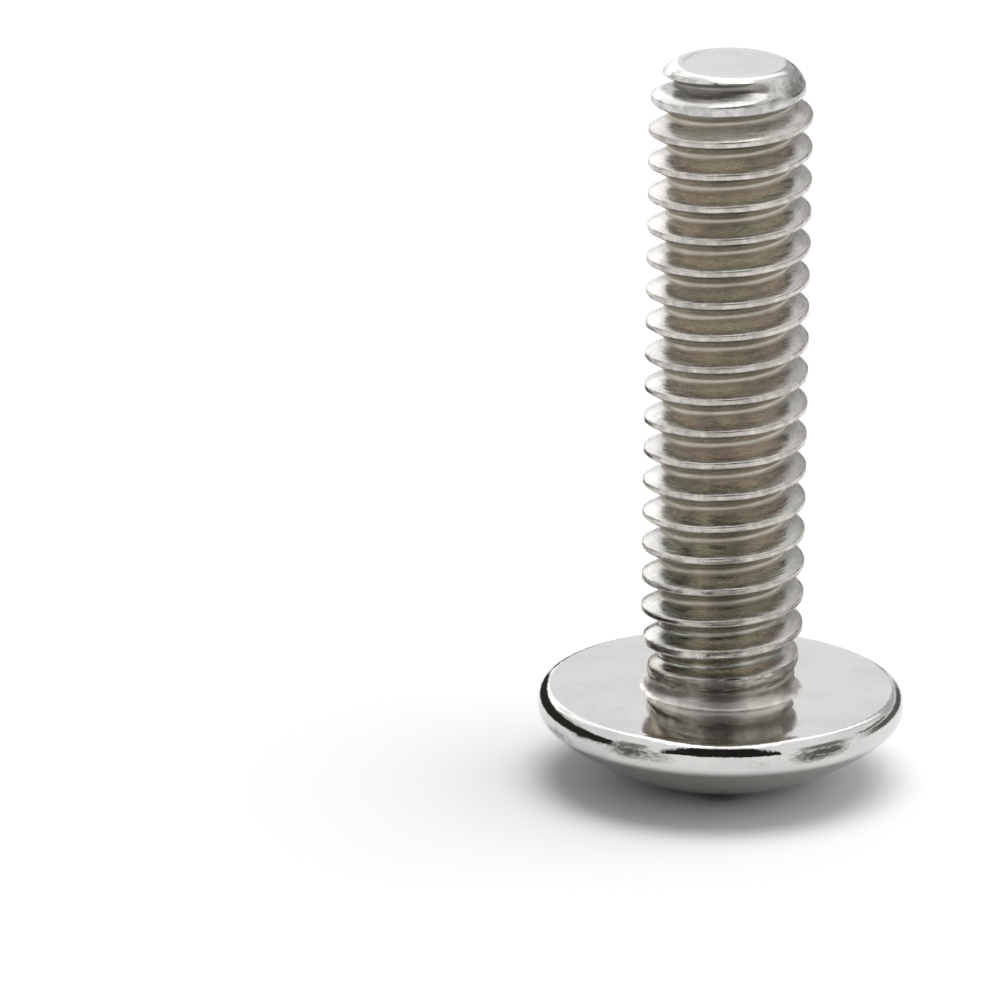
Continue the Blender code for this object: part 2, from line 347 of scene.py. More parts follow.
def makeShank(bm):
    pitch = shank["pitch"]
    firstCrestZ = tipZ - shank["firstCrestDepth"]
    turnsBelow = math.ceil((firstCrestZ - bearingZ) / pitch) + 1
    turns = turnsBelow + math.ceil(shank["firstCrestDepth"] / pitch) + 2
    lowZ = firstCrestZ - turnsBelow * pitch
    offsets = [-row for row in reversed(shank["rows"][1:])] + list(shank["rows"])
    line = lineOf(bm, [(threadRadius(offset), lowZ + offset) for offset in offsets])
    bmesh.ops.spin(bm, geom=line, cent=(0, 0, 0), axis=(0, 0, 1), dvec=(0, 0, pitch / shank["stepsPerTurn"]),
                   angle=2 * math.pi, steps=shank["stepsPerTurn"], use_merge=False)
    firstTurn = list(bm.verts) + list(bm.edges) + list(bm.faces)
    for turn in range(1, turns):
        copied = bmesh.ops.duplicate(bm, geom=firstTurn)["geom"]
        verts = [item for item in copied if isinstance(item, bmesh.types.BMVert)]
        bmesh.ops.translate(bm, verts=verts, vec=(0, 0, turn * pitch))
    bmesh.ops.remove_doubles(bm, verts=bm.verts, dist=weld["shank"])
    for cutZ, upward in ((tipZ - shank["tipCut"], 1), (bearingZ + shank["neckCut"], -1)):
        geom = list(bm.verts) + list(bm.edges) + list(bm.faces)
        bmesh.ops.bisect_plane(bm, geom=geom, dist=weld["cut"], plane_co=(0, 0, cutZ),
                               plane_no=(0, 0, upward), clear_outer=True)
    bmesh.ops.remove_doubles(bm, verts=bm.verts, dist=weld["shank"])
    trimShank(bm)

    # rounded tip up to its flat, dished face
    edges = boundaryAt(bm, tipZ - shank["tipCut"])
    startAngle = math.degrees(math.acos(1 - shank["tipCut"] / shank["tipRoundLength"]))
    for step in range(1, shank["tipSteps"] + 1):
        radius, z = tipPoint(startAngle * (1 - step / shank["tipSteps"]))
        edges = ringTo(bm, edges, radius, z)
    dish = shank["dishDepth"]
    flat = shank["tipFlatRadius"]
    for inset, share in shank["dishRings"]:
        edges = ringTo(bm, edges, flat - inset, tipZ - dish * share)
    closePole(bm, edges, tipZ - dish)

    # neck, fillet and the first of the bearing face
    edges = boundaryAt(bm, bearingZ + shank["neckCut"])
    fillet = shank["filletRadius"]
    centreRadius = shank["neckRadius"] + fillet
    for radius, z in arc(centreRadius, fillet, fillet, 180, 270, shank["filletSteps"]):
        edges = ringTo(bm, edges, radius, bearingZ + z * shank["filletHeight"] / fillet)
    return ringTo(bm, edges, shank["neckFlatRadius"], bearingZ)


# Cross recess: the outline at any depth, one column at a time
def wingReach(z):
    rimZ = crownZ + domeRise(recess["radius"])
    return recess["radius"] + (rimZ - z) * tangent(recess["wingTaper"])


def eighthPath(z):
    # from a wing's corner along its side and round to the middle of the lobe
    lobeRadius = recess["lobeRadius"] + z * tangent(recess["lobeDraft"])
    centre = (recess["lobeGap"] / 2 + recess["lobeRadius"]) / math.sqrt(2)
    halfWidth = recess["wingWidth"] / 2 - z * tangent(recess["wingDraft"])
    startAngle = 225 + recess["lobeSweep"] / 2
    lobe = [Vector(point) for point in arc(centre, centre, lobeRadius, startAngle, 225, recess["lobeSteps"])]
    slope = (lobe[0].y - halfWidth) / (recess["radius"] - lobe[0].x)
    reach = wingReach(z)
    beyond = reach + 1.0
    far = Vector((beyond, lobe[0].y - slope * (beyond - lobe[0].x)))
    path = [far] + lobe
    for index in range(len(path) - 1):
        outer, inner = path[index], path[index + 1]
        if outer.length > reach >= inner.length:
            low, high = 0.0, 1.0
            for _ in range(recess["halvings"]):
                middle = (low + high) / 2
                if outer.lerp(inner, middle).length > reach:
                    low = middle
                else:
                    high = middle
            return [outer.lerp(inner, high)] + path[index + 1:]
    return path


def columnPoint(column, z):
    quarter = head["columns"] // 4
    turn, place = divmod(column, quarter)
    mirrored = place > quarter // 2
    if mirrored:
        place = quarter - place
    path = eighthPath(z)
    if place <= recess["endColumns"]:
        angle = math.atan2(path[0].y, path[0].x) * place / recess["endColumns"]
        point = Vector((path[0].length * math.cos(angle), path[0].length * math.sin(angle)))
    else:
        lengths = [0.0]
        for first, second in zip(path, path[1:]):
            lengths.append(lengths[-1] + (second - first).length)
        share = (place - recess["endColumns"]) / (quarter // 2 - recess["endColumns"])
        goal = share * lengths[-1]
        index = 0
        while index < len(path) - 2 and lengths[index + 1] < goal:
            index += 1
        span = lengths[index + 1] - lengths[index]
        point = path[index].lerp(path[index + 1], (goal - lengths[index]) / span)
    if mirrored:
        point = Vector((point.y, point.x))
    return Matrix.Rotation(turn * math.pi / 2, 2) @ point


def roundCorners(points, passes):
    count = len(points)
    for _ in range(passes):
        points = [(points[i - 1] + 2 * points[i] + points[(i + 1) % count]) / 4 for i in range(count)]
    return points


def rimLoop():
    points = []
    for column in range(head["columns"]):
        z = recess["rimGuess"]
        for _ in range(recess["rimPasses"]):
            point = columnPoint(column, z)
            z = crownZ + domeRise(point.length)
        points.append(Vector((point.x, point.y, z)))
    points = roundCorners(points, recess["cornerPasses"])
    for point in points:
        point.z = crownZ + domeRise(point.xy.length)
    return points


def floorLoop():
    rimZ = crownZ + domeRise(recess["radius"])
    floorZ = rimZ + (recess["radius"] - recess["floorRadius"]) / tangent(recess["wingTaper"])
    points = []
    for column in range(head["columns"]):
        z = floorZ
        for _ in range(recess["floorPasses"]):
            point = columnPoint(column, z)
            z = floorZ + (recess["floorRadius"] - point.length) * tangent(recess["floorAngle"])
        points.append(Vector((point.x, point.y, z)))
    return roundCorners(points, recess["cornerPasses"]), floorZ


def extrudeTo(bm, edges, layer, points):
    verts, edges = extrudeLoop(bm, edges)
    for vert in verts:
        vert.co = points[vert[layer]]
    return edges


def makeHead(bm):
    start = set(bm.verts)
    columns = head["columns"]
    bearingRadius = head["radius"] - head["bearingEdgeRadius"]
    bandTop = bearingZ - head["bearingEdgeRadius"]
    bandBottom = bandTop - head["rimBand"]
    domeStart = domeAngle - 90
    domeEnd = math.degrees(math.asin(head["openRadius"] / domeRadius)) - 90
    profile = [(radius, bearingZ) for radius in head["bearingRings"]]
    profile += arc(bearingRadius, bandTop, head["bearingEdgeRadius"], 90, 0, head["edgeSteps"])
    profile += arc(edgeCentreRadius, bandBottom, head["crownEdgeRadius"], 0, domeStart, head["edgeSteps"])
    profile += arc(0.0, crownZ + domeRadius, domeRadius, domeStart, domeEnd, head["domeSteps"])[1:]
    line = lineOf(bm, profile)
    bmesh.ops.spin(bm, geom=line, cent=(0, 0, 0), axis=(0, 0, 1), dvec=(0, 0, 0), angle=2 * math.pi,
                   steps=columns, use_merge=True)
    made = [vert for vert in bm.verts if vert not in start]
    bmesh.ops.remove_doubles(bm, verts=made, dist=weld["head"])
    layer = bm.verts.layers.int["column"]
    openZ = crownZ + domeRise(head["openRadius"])
    edges = boundaryAt(bm, openZ)
    outer = [None] * columns
    for edge in edges:
        for vert in edge.verts:
            column = round(math.atan2(vert.co.y, vert.co.x) / (2 * math.pi) * columns) % columns
            vert[layer] = column
            outer[column] = vert.co.copy()

    # dome, from round rings to the outline of the cross
    rim = rimLoop()
    for step in range(1, head["innerSteps"] + 1):
        share = step / head["innerSteps"]
        ring = [a.lerp(b, share) for a, b in zip(outer, rim)]
        for point in ring:
            point.z = crownZ + domeRise(point.xy.length)
        edges = extrudeTo(bm, edges, layer, ring)
    rimEdges = list(edges)

    # walls with their drafts, then the blunt cone of the floor
    floor, floorZ = floorLoop()
    for step in range(1, recess["wallSteps"] + 1):
        share = step / recess["wallSteps"]
        ring = []
        for column in range(columns):
            z = rim[column].z + (floor[column].z - rim[column].z) * share
            point = columnPoint(column, z)
            ring.append(Vector((point.x, point.y, z)))
        ring = floor if step == recess["wallSteps"] else roundCorners(ring, recess["cornerPasses"])
        edges = extrudeTo(bm, edges, layer, ring)
    pointZ = floorZ + (recess["floorRadius"] - recess["pointRadius"]) * tangent(recess["floorAngle"])
    for step in range(1, recess["floorSteps"] + 1):
        share = step / recess["floorSteps"]
        ring = []
        for point in floor:
            reach = point.xy.length
            radius = reach + (recess["pointRadius"] - reach) * share
            z = point.z + (pointZ - point.z) * share
            ring.append(Vector((point.x * radius / reach, point.y * radius / reach, z)))
        edges = extrudeTo(bm, edges, layer, ring)
    for radius in recess["poleRings"]:
        edges = ringTo(bm, edges, radius, pointZ)
    closePole(bm, edges, pointZ)
    bmesh.ops.bevel(bm, geom=rimEdges, affect="EDGES", offset_type="OFFSET", offset=recess["rimRounding"],
                    segments=recess["rimSegments"], profile=0.5, material=-1,
                    clamp_overlap=True, loop_slide=True)


def wearRim(bm):
    # how worn each point of the rim is, for the finish
    worn = bm.verts.layers.float["worn"]
    for vert in bm.verts:
        reach = vert.co.xy.length
        if reach < head["radius"] - rimWear["rimWidth"] or vert.co.z > bearingZ:
            continue
        azimuth = math.degrees(math.atan2(vert.co.x, -vert.co.y))
        for middle, width, below, strength in rimWear["patches"]:
            across = (azimuth - middle + 180) % 360 - 180
            down = bearingZ - below - vert.co.z
            vert[worn] += strength * math.exp(-(across / width) ** 2 - (down / rimWear["halfHeight"]) ** 2)


def markSharp(bm, limit):
    for edge in bm.edges:
        edge.smooth = edge.calc_face_angle(0.0) < math.radians(limit)
    for face in bm.faces:
        face.smooth = True


finishOf = {"thread": 0, "head": 1, "recess": 2}

# Where one finish gives way to the next, in millimetres
finishEdges = {
    "overBearing": 0.004,
    "underTip": 0.12,
    "underBearing": 0.01,
    "insideDome": 0.05,
}


def sortFinishes(bm):
    # thread, head and recess each have their own steel
    for face in bm.faces:
        middle = face.calc_center_median()
        reach = middle.xy.length
        onShank = bearingZ + finishEdges["overBearing"] < middle.z < tipZ - finishEdges["underTip"]
        inHead = middle.z < bearingZ - finishEdges["underBearing"]
        inside = reach < recess["radius"] and middle.z > crownZ + domeRise(reach) + finishEdges["insideDome"]
        if onShank:
            face.material_index = finishOf["thread"]
        elif inHead and inside:
            face.material_index = finishOf["recess"]
        else:
            face.material_index = finishOf["head"]


def meshObject(name, bm):
    mesh = bpy.data.meshes.new(name)
    bm.to_mesh(mesh)
    bm.free()
    made = bpy.data.objects.new(name, mesh)
    bpy.context.scene.collection.objects.link(made)
    return made


def makeScrew():
    bm = bmesh.new()
    for name in ("hollow", "worn"):
        bm.verts.layers.float.new(name)
    bm.verts.layers.int.new("column")
    makeShank(bm)
    makeHead(bm)
    inner = [edge for edge in bm.edges if edge.is_boundary]
    bmesh.ops.triangle_fill(bm, use_beauty=True, use_dissolve=False, edges=inner, normal=(0, 0, 1))
    bmesh.ops.remove_doubles(bm, verts=bm.verts, dist=weld["head"])
    bmesh.ops.recalc_face_normals(bm, faces=bm.faces)
    wearRim(bm)
    markSharp(bm, sharpAngle)
    sortFinishes(bm)
    openEdges = sum(not edge.is_manifold for edge in bm.edges)
    bmesh.ops.scale(bm, vec=(toMetres, toMetres, toMetres), verts=bm.verts)
    piece = meshObject("steelScrew", bm)
    piece.data.calc_loop_triangles()
    print("screw modelled:", len(piece.data.loop_triangles), "triangles,", openEdges, "open edges")
    return piece


screwPiece = makeScrew()

# Steel finishes. Lengths are in millimetres, and scales are per millimetre.
steel = {
    "crestColor": (0.62, 0.59, 0.545),
    "upperFlankColor": (0.595, 0.6, 0.61),
    # painted shade of the down-facing flanks just under the crests
    "shadedLowerFlankColor": (0.2, 0.175, 0.145),
    "innerFlankColor": (0.525, 0.46, 0.375),
    "rootColor": (0.55, 0.51, 0.44),
    "grooveColor": (0.5, 0.475, 0.44),
    "tipColor": (0.62, 0.615, 0.6),
    "neckColor": (0.42, 0.39, 0.34),
    "filletColor": (0.74, 0.715, 0.67),
    "warmTint": (1.03, 0.97, 0.92),
    "oliveTint": (0.97, 1.0, 0.9),
    "headColor": (0.66, 0.655, 0.64),
    "headDull": (0.58, 0.575, 0.565),
    # painted shade of the dome under the head
    "shadedCrownColor": (0.46, 0.46, 0.44),
    "scuffColor": (0.09, 0.085, 0.075),
    "recessColor": (0.5, 0.485, 0.455),
    "recessDull": (0.26, 0.245, 0.215),
    "flankRoughness": (0.16, 0.34),
    "rootRoughness": 0.42,
    "grooveRoughness": 0.5,
    "neckRoughness": 0.34,
    "filletRoughness": 0.42,
    "headRoughness": (0.07, 0.17),
    "rimRoughness": 0.06,
    "crownRoughness": 0.19,
    "scuffRoughness": 0.34,
    "recessRoughness": (0.22, 0.45),
    "threadRelief": 0.008,
    "headRelief": 0.012,
    "recessRelief": 0.012,
    "lineShift": 9.0,               # of the thread's lines from the crest to the groove's bottom
    "dullLines": 0.15,
    "gritRelief": 0.7,
    "filletRelief": 0.2,
    "waveDullness": 0.4,
    "fleckStrength": 1.1,
    "rippleRelief": 0.22,
    "faceRelief": 0.06,             # away from the rim
    # how much the recess darkens with its dull patches and towards its floor
    "dullDarkening": 0.35,
    "floorDarkening": 0.7,
    # where one finish gives way to the next
    "neckRise": (0.9, 1.3),         # over the bearing face
    "filletRise": (0.25, 0.5),      # the same
    "tipDrop": (1.9, 1.1),          # under the tip
    "rimReach": (6.45, 6.6),        # from the axis
    "crownDrop": (1.36, 1.24),      # under the bearing face
    "darkeningRise": (0.3, 2.6),        # over the crown
}

# What a measure of the surface gives: the measure from and to, and the values there
blends = {
    # share of the thread's depth under the crests
    "crest": (0.02, 0.12, 1.0, 0.0),
    "root": (0.84, 0.97, 0.0, 1.0),
    "inward": (0.35, 0.75, 0.0, 1.0),
    "tip": (0.35, 0.8, 1.0, 0.15),
    "tipGroove": (0.04, 0.16, 0.0, 1.0),
    # painted shade on the flanks towards the root, and in the tip's first groove
    "innerShade": (0.35, 0.9, 0.0, 0.3),
    "grooveShade": (0.34, 0.6, 0.0, 0.55),
    # how far the surface faces up
    "upward": (-0.25, 0.15, 0.0, 1.0),
    "grooveSide": (0.6, 0.8, 1.0, 0.0),
    # strength of marks, dull patches and wear
    "tint": (0.4, 0.6, 0.0, 1.0),
    "lineShade": (0.3, 0.7, 0.87, 1.06),
    "dullShade": (0.0, 1.0, 0.0, -0.14),
    "wornCrest": (0.4, 0.62, -0.16, 0.1),
    "scuffed": (0.0, 0.95, 0.0, 1.0),
    "patchEdge": (0.0, 0.35, 0.0, 1.0),
}

# Strength of marks and dull patches, from and to, over which each finish grows rough
roughening = {
    "thread": (0.3, 0.75),
    "head": (0.1, 1.1),
    "recess": (0.3, 1.6),
}

# How the fine marks run: along X, Y and Z, offset up, scale
marks = {
    "threadLines": (0.5, 0.5, 0.7, 0.0, 2.2),
    "threadGrit": (1.0, 1.0, 1.0, 0.0, 9.0),
    "headWaves": (1.0, 1.0, 1.0, 0.0, 2.5),
    "rimFlecks": (1.0, 1.0, 2.6, 0.0, 4.5),
    "rimRipple": (1.0, 1.0, 1.6, 0.0, 9.0),
    "punchMarks": (3.0, 3.0, 0.35, 0.0, 2.5),
}

# Dull patches: scale, scale of their speckle, amount
dullness = {
    "thread": (0.45, 5.0, 1.0),
    "head": (0.32, 7.0, 0.8),
    "recess": (0.9, 9.0, 1.0),
}


def newMaterial(name):
    material = bpy.data.materials.new(name)
    material.use_nodes = True
    return material


def feed(tree, socket, value):
    if isinstance(value, bpy.types.NodeSocket):
        tree.links.new(value, socket)
    else:
        socket.default_value = value


def addNode(tree, kind, inputs, **settings):
    node = tree.nodes.new(kind)
    for name, value in settings.items():
        setattr(node, name, value)
    for key, value in inputs.items():
        feed(tree, node.inputs[key], value)
    return node


def calc(tree, operation, first, second=0.0, clamp=False):
    inputs = {0: first, 1: second}
    return addNode(tree, "ShaderNodeMath", inputs, operation=operation, use_clamp=clamp).outputs[0]


def remap(tree, value, low, high, lowTo=0.0, highTo=1.0):
    inputs = {"Value": value, "From Min": low, "From Max": high, "To Min": lowTo, "To Max": highTo}
    return addNode(tree, "ShaderNodeMapRange", inputs, interpolation_type="SMOOTHSTEP").outputs["Result"]


def withAlpha(color):
    return color if isinstance(color, bpy.types.NodeSocket) else (*color, 1.0)


def mixColor(tree, factor, first, second, blending="MIX"):
    inputs = {0: factor, 6: withAlpha(first), 7: withAlpha(second)}
    return addNode(tree, "ShaderNodeMix", inputs, data_type="RGBA", blend_type=blending).outputs[2]


def mixValue(tree, factor, first, second):
    return addNode(tree, "ShaderNodeMix", {0: factor, 2: first, 3: second}, data_type="FLOAT").outputs[0]


def millimetres(tree):
    coordinates = addNode(tree, "ShaderNodeTexCoord", {}).outputs["Object"]
    inputs = {0: coordinates, 3: 1 / toMetres}
    return addNode(tree, "ShaderNodeVectorMath", inputs, operation="SCALE").outputs[0]


def axesOf(tree, vector):
    return addNode(tree, "ShaderNodeSeparateXYZ", {0: vector}).outputs


def noiseOf(tree, vector, scale, detail, distortion=0.0):
    inputs = {"Vector": vector, "Scale": scale, "Detail": detail, "Distortion": distortion}
    return addNode(tree, "ShaderNodeTexNoise", inputs).outputs["Fac"]


def newGroup(name, inputs, outputs):
    group = bpy.data.node_groups.new(name, "ShaderNodeTree")
    for label, value in inputs.items():
        socket = group.interface.new_socket(label, in_out="INPUT", socket_type="NodeSocketFloat")
        socket.default_value = value
    for label in outputs:
        group.interface.new_socket(label, in_out="OUTPUT", socket_type="NodeSocketFloat")
    return group, group.nodes.new("NodeGroupInput").outputs, group.nodes.new("NodeGroupOutput").inputs


def useGroup(tree, group, inputs):
    node = tree.nodes.new("ShaderNodeGroup")
    node.node_tree = group
    for key, value in inputs.items():
        feed(tree, node.inputs[key], value)
    return node.outputs


# Make of the two shared patterns
pattern = {
    "cloudDetail": 3.0,
    "cloudDistortion": 0.6,
    "speckleDetail": 2.0,
    "speckleShare": 0.35,
    "patchEdge": (0.4, 0.68),
    "fineDetail": 4.0,
    "coarseDetail": 2.0,
    "coarseScale": 0.3,
}
smudgeInputs = {"Scale": 0.6, "Speckle": 12.0, "Amount": 0.5}
grainInputs = {"Along X": 1.0, "Along Y": 1.0, "Along Z": 1.0, "Offset": 0.0, "Scale": 4.0}


def makeSmudges():
    # soft worn patches with a fine speckle, 0 clean to 1 dull
    group, given, put = newGroup("smudges", smudgeInputs, ["Mask"])
    where = millimetres(group)
    cloud = noiseOf(group, where, given["Scale"], pattern["cloudDetail"], pattern["cloudDistortion"])
    speckle = noiseOf(group, where, given["Speckle"], pattern["speckleDetail"])
    speckle = calc(group, "MULTIPLY", calc(group, "SUBTRACT", speckle, 0.5), pattern["speckleShare"])
    soft = remap(group, calc(group, "ADD", cloud, speckle), *pattern["patchEdge"])
    feed(group, put["Mask"], calc(group, "MULTIPLY", soft, given["Amount"], clamp=True))
    return group


def makeGrain():
    # fine marks drawn out along one direction, given by how fast each axis runs
    group, given, put = newGroup("grain", grainInputs, ["Fine", "Coarse"])
    x, y, z = axesOf(group, millimetres(group))
    across = calc(group, "MULTIPLY", x, given["Along X"])
    deep = calc(group, "MULTIPLY", y, given["Along Y"])
    up = calc(group, "ADD", calc(group, "MULTIPLY", z, given["Along Z"]), given["Offset"])
    where = addNode(group, "ShaderNodeCombineXYZ", {0: across, 1: deep, 2: up}).outputs[0]
    coarse = calc(group, "MULTIPLY", given["Scale"], pattern["coarseScale"])
    feed(group, put["Fine"], noiseOf(group, where, given["Scale"], pattern["fineDetail"]))
    feed(group, put["Coarse"], noiseOf(group, where, coarse, pattern["coarseDetail"]))
    return group


smudges = makeSmudges()
grain = makeGrain()


def dullPatches(tree, name):
    return useGroup(tree, smudges, dict(zip(smudgeInputs, dullness[name])))["Mask"]


def fineMarks(tree, name, offset=None):
    inputs = dict(zip(grainInputs, marks[name]))
    if offset is not None:
        inputs["Offset"] = offset
    return useGroup(tree, grain, inputs)


def attributeOf(tree, name):
    return addNode(tree, "ShaderNodeAttribute", {}, attribute_name=name).outputs["Fac"]


def finishShader(tree, color, roughness, height, distance):
    shader = tree.nodes["Principled BSDF"]
    shader.inputs["Metallic"].default_value = 1.0
    feed(tree, shader.inputs["Base Color"], color)
    feed(tree, shader.inputs["Roughness"], roughness)
    inputs = {"Height": height, "Distance": distance * toMetres, "Strength": 1.0}
    bump = addNode(tree, "ShaderNodeBump", inputs)
    feed(tree, shader.inputs["Normal"], bump.outputs[0])


def threadSteel():
    # crest, flanks and root tell apart by the kept depth and by which way the surface faces
    material = newMaterial("rolledThreadSteel")
    tree = material.node_tree
    x, y, z = axesOf(tree, millimetres(tree))
    facing = axesOf(tree, addNode(tree, "ShaderNodeTexCoord", {}).outputs["Normal"])[2]
    hollow = attributeOf(tree, "hollow")

    # distance from the nearest crest in pitches, which repeats up the helix with no seam
    turn = calc(tree, "DIVIDE", calc(tree, "ARCTAN2", y, x), 2 * math.pi)
    height = calc(tree, "DIVIDE", calc(tree, "SUBTRACT", tipZ - shank["firstCrestDepth"], z), shank["pitch"])
    phase = calc(tree, "PINGPONG", calc(tree, "ADD", height, turn), 0.5)
    lines = fineMarks(tree, "threadLines", calc(tree, "MULTIPLY", phase, steel["lineShift"]))
    grit = fineMarks(tree, "threadGrit")
    dull = dullPatches(tree, "thread")

    # flanks with warm and olive drifts: painted shade on the down-facing flanks, darkest just under the
    # crests, and the steel's own colour on those that face up
    crest = remap(tree, hollow, *blends["crest"])
    root = remap(tree, hollow, *blends["root"])
    upward = remap(tree, facing, *blends["upward"])
    inward = remap(tree, hollow, *blends["inward"])
    # painted shade on the down-facing flanks, lighter deeper in the groove
    lower = mixColor(tree, inward, steel["shadedLowerFlankColor"], steel["innerFlankColor"])
    flank = mixColor(tree, upward, lower, steel["upperFlankColor"])
    tint = remap(tree, lines["Coarse"], *blends["tint"])
    tint = mixColor(tree, tint, steel["warmTint"], steel["oliveTint"])
    flank = mixColor(tree, 1.0, flank, tint, "MULTIPLY")
    flank = mixColor(tree, root, flank, steel["rootColor"])
    color = mixColor(tree, crest, flank, steel["crestColor"])

    # the neck and its fillet below, the tip and its first groove above
    low, high = steel["neckRise"]
    neck = remap(tree, z, bearingZ + low, bearingZ + high, 1.0, 0.0)
    color = mixColor(tree, neck, color, steel["neckColor"])
    low, high = steel["filletRise"]
    fillet = remap(tree, z, bearingZ + low, bearingZ + high, 1.0, 0.0)
    color = mixColor(tree, fillet, color, steel["filletColor"])
    low, high = steel["tipDrop"]
    nearTip = remap(tree, z, tipZ - low, tipZ - high)
    tip = calc(tree, "MULTIPLY", nearTip, remap(tree, hollow, *blends["tip"]))
    color = mixColor(tree, tip, color, steel["tipColor"])
    inGroove = calc(tree, "MULTIPLY", nearTip, remap(tree, hollow, *blends["tipGroove"]))
    inGroove = calc(tree, "MULTIPLY", inGroove, remap(tree, facing, *blends["grooveSide"]))
    color = mixColor(tree, inGroove, color, steel["grooveColor"])

    # lines, dull patches and worn crests lighten and darken it all, and painted shade darkens the up-facing
    # flanks towards the root and in the tip's first groove
    shade = remap(tree, lines["Fine"], *blends["lineShade"])
    shade = calc(tree, "ADD", shade, remap(tree, dull, *blends["dullShade"]))
    # painted shade: up-facing flanks darken towards the root, and more in the tip's first groove; the root
    # line itself is kept out
    inner = calc(tree, "MULTIPLY", remap(tree, hollow, *blends["innerShade"]), upward)
    groove = calc(tree, "MULTIPLY", nearTip, remap(tree, hollow, *blends["grooveShade"]))
    inner = calc(tree, "MAXIMUM", inner, calc(tree, "MULTIPLY", groove, upward))
    inner = calc(tree, "MULTIPLY", inner, calc(tree, "SUBTRACT", 1.0, root))
    shade = calc(tree, "SUBTRACT", shade, inner)
    worn = calc(tree, "MULTIPLY", crest, remap(tree, grit["Coarse"], *blends["wornCrest"]))
    shade = calc(tree, "ADD", shade, worn)
    grey = addNode(tree, "ShaderNodeCombineColor", {0: shade, 1: shade, 2: shade}).outputs[0]
    color = mixColor(tree, 1.0, color, grey, "MULTIPLY")

    drawn = calc(tree, "ADD", lines["Fine"], calc(tree, "MULTIPLY", dull, steel["dullLines"]))
    roughness = remap(tree, drawn, *roughening["thread"], *steel["flankRoughness"])
    roughness = mixValue(tree, root, roughness, steel["rootRoughness"])
    roughness = mixValue(tree, inGroove, roughness, steel["grooveRoughness"])
    roughness = mixValue(tree, neck, roughness, steel["neckRoughness"])
    roughness = mixValue(tree, fillet, roughness, steel["filletRoughness"])
    relief = calc(tree, "ADD", lines["Fine"], calc(tree, "MULTIPLY", grit["Fine"], steel["gritRelief"]))
    relief = calc(tree, "MULTIPLY", relief, mixValue(tree, fillet, 1.0, steel["filletRelief"]))
    finishShader(tree, color, roughness, relief, steel["threadRelief"])
    return material


def headSteel():
    # polished bearing face and rim with soft dull patches, a satin dome under painted shade, and worn flecks
    # on the rim
    material = newMaterial("headSteel")
    tree = material.node_tree
    x, y, z = axesOf(tree, millimetres(tree))
    reach = calc(tree, "SQRT", calc(tree, "ADD", calc(tree, "MULTIPLY", x, x), calc(tree, "MULTIPLY", y, y)))
    rim = remap(tree, reach, *steel["rimReach"])
    dull = dullPatches(tree, "head")
    waves = fineMarks(tree, "headWaves")["Fine"]
    color = mixColor(tree, dull, steel["headColor"], steel["headDull"])
    # painted shade: the dome under the head is darker than the rest
    low, high = steel["crownDrop"]
    crown = remap(tree, z, bearingZ - low, bearingZ - high, 1.0, 0.0)
    color = mixColor(tree, crown, color, steel["shadedCrownColor"])
    drawn = calc(tree, "ADD", dull, calc(tree, "MULTIPLY", waves, steel["waveDullness"]))
    roughness = remap(tree, drawn, *roughening["head"], *steel["headRoughness"])
    roughness = mixValue(tree, rim, roughness, steel["rimRoughness"])
    roughness = mixValue(tree, crown, roughness, steel["crownRoughness"])

    # the rim's worn patches, broken up into flecks
    patches = attributeOf(tree, "worn")
    flecks = calc(tree, "SUBTRACT", fineMarks(tree, "rimFlecks")["Fine"], 0.5)
    scuffed = calc(tree, "ADD", patches, calc(tree, "MULTIPLY", flecks, steel["fleckStrength"]))
    patchEdge = remap(tree, patches, *blends["patchEdge"])
    scuffed = calc(tree, "MULTIPLY", remap(tree, scuffed, *blends["scuffed"]), patchEdge)
    color = mixColor(tree, scuffed, color, steel["scuffColor"])
    roughness = mixValue(tree, scuffed, roughness, steel["scuffRoughness"])

    # the rim is left slightly uneven, and the faces nearly flat
    ripple = fineMarks(tree, "rimRipple")["Fine"]
    relief = calc(tree, "ADD", waves, calc(tree, "MULTIPLY", ripple, steel["rippleRelief"]))
    relief = calc(tree, "MULTIPLY", relief, mixValue(tree, rim, steel["faceRelief"], 1.0))
    finishShader(tree, color, roughness, relief, steel["headRelief"])
    return material


def recessSteel():
    # punched walls: marks run down with the punch, and the colour darkens towards the floor
    material = newMaterial("recessSteel")
    tree = material.node_tree
    z = axesOf(tree, millimetres(tree))[2]
    dull = dullPatches(tree, "recess")
    punched = fineMarks(tree, "punchMarks")["Fine"]
    # darker towards the recess's floor
    deep = calc(tree, "MULTIPLY", remap(tree, z, *steel["darkeningRise"]), steel["floorDarkening"])
    darkening = calc(tree, "ADD", calc(tree, "MULTIPLY", dull, steel["dullDarkening"]), deep, clamp=True)
    color = mixColor(tree, darkening, steel["recessColor"], steel["recessDull"])
    drawn = calc(tree, "ADD", darkening, punched)
    roughness = remap(tree, drawn, *roughening["recess"], *steel["recessRoughness"])
    finishShader(tree, color, roughness, punched, steel["recessRelief"])
    return material


for finish in (threadSteel(), headSteel(), recessSteel()):
    screwPiece.data.materials.append(finish)
print("steel finishes made")

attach(screwPiece, "root")
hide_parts("truss_head_screw")

# Stage: a white floor, a white room, one soft lamp, and cards that the metal reflects. Lengths in metres.
stage = {
    "floorColor": 0.95,
    "floorRadius": 1.6,
    "floorSides": 96,
    "worldLight": 0.38,     # as a light; looked at, the room is white
    "cardCells": (24, 16),
    "climbBlend": (0.36, 0.5),      # shares of a card's height between which its lower colour gives way
}

